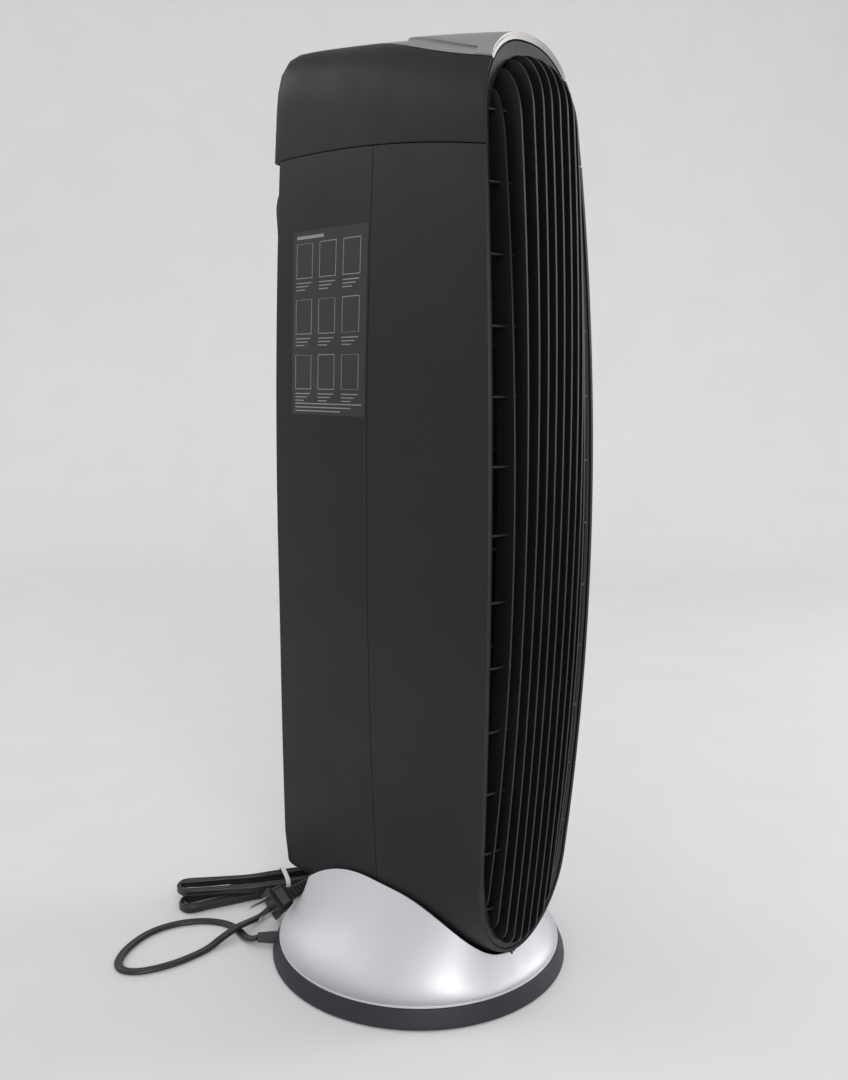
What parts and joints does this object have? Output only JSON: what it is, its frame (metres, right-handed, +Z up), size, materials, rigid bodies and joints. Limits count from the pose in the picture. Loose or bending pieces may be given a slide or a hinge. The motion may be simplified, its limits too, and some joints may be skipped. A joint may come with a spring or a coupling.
{
  "type": "tower air purifier",
  "caption": "Tall narrow tower air purifier with louvred front grille and rear filter door, silver control bezel, flared round pedestal, flat cord and plug.",
  "frame": {"origin": "on the floor under the centre of the round foot", "axes": "+X right seen from the air outlet grille, -Y towards the outlet grille (front), +Y towards the filter door (rear), +Z up"},
  "size_m": [0.3205, 0.3364, 0.7178],
  "materials": {
    "satin_black": "satin moulded plastic, fine spark texture",
    "grille_black": "satin moulded plastic",
    "ring_black": "satin moulded plastic",
    "inner_black": "plain moulded plastic",
    "silver_paint": "satin metallic paint on plastic",
    "button_grey": "satin",
    "lens_dark": "polished tinted window",
    "label_gloss": "glossy printed film",
    "steel": "zinc plated",
    "bronze": "sintered",
    "motor_steel": "pressed steel can",
    "rubber_black": "soft matt",
    "rotor_plastic": "moulded",
    "filter_white": "pleated fibre paper",
    "filter_card": "moulded cassette",
    "foam_black": "open foam",
    "board_green": "solder mask",
    "cord_black": "satin PVC",
    "plug_metal": "nickel plated",
    "tie_white": "coated wire"
  },
  "bodies": {
    "tower": {"base_plate": "inner_black", "base_feet": "rubber_black", "base_ring": "ring_black", "base_screws": "steel", "pedestal": "silver_paint", "saddle": "inner_black", "front_shell": "satin_black", "rear_shell": "satin_black", "top_cap": "satin_black", "top_bezel": "silver_paint", "control_tongue": "silver_paint", "front_grille": "grille_black", "prefilter": "foam_black", "filter_frame": "filter_card", "filter_media": "filter_white", "filter_seal": "rubber_black", "filter_bulkhead": "inner_black", "fan_floor": "inner_black", "fan_ceiling": "inner_black", "air_scroll": "inner_black", "air_cutoff": "inner_black", "motor_case": "motor_steel", "motor_bracket": "steel", "motor_screws": "steel", "bearing_bush": "bronze", "bearing_holder": "rubber_black", "indicator_lens": "lens_dark", "control_board": "board_green", "board_switches": "inner_black", "board_screws": "steel", "side_label": "label_gloss", "cord_gland": "cord_black", "cord_run": "cord_black", "cord_hank": "cord_black", "cord_lead": "cord_black", "cord_tie": "tie_white", "plug_body": "cord_black", "plug_blades": "plug_metal"},
    "rotor": {"fan_rotor": "rotor_plastic", "rotor_hub": "rotor_plastic", "rotor_stub": "steel", "motor_shaft": "steel"},
    "door": {"rear_door": "grille_black", "door_pins": "steel"},
    "power_button": {"power_button": "button_grey"},
    "speed_button": {"speed_button": "button_grey"},
    "timer_button": {"timer_button": "button_grey"}
  },
  "joints": [
    {"name": "fan_spin", "type": "hinge", "parent": "tower", "child": "rotor", "pos_m": [0.003, -0.042, 0.34], "axis": [0, 0, 1], "continuous": true},
    {"name": "door_hinge", "type": "hinge", "parent": "tower", "child": "door", "pos_m": [0, 0.112, 0.084], "axis": [-1, 0, 0], "range_deg": [0, 25]},
    {"name": "power_press", "type": "slide", "parent": "tower", "child": "power_button", "axis": [0, 0.1478, -0.989], "range_m": [0, 0.001], "stiffness_N_per_m": 900, "springref_m": -0.0005},
    {"name": "speed_press", "type": "slide", "parent": "tower", "child": "speed_button", "axis": [0, 0.1478, -0.989], "range_m": [0, 0.001], "stiffness_N_per_m": 900, "springref_m": -0.0005},
    {"name": "timer_press", "type": "slide", "parent": "tower", "child": "timer_button", "axis": [0, 0.1478, -0.989], "range_m": [0, 0.001], "stiffness_N_per_m": 900, "springref_m": -0.0005}
  ]
}
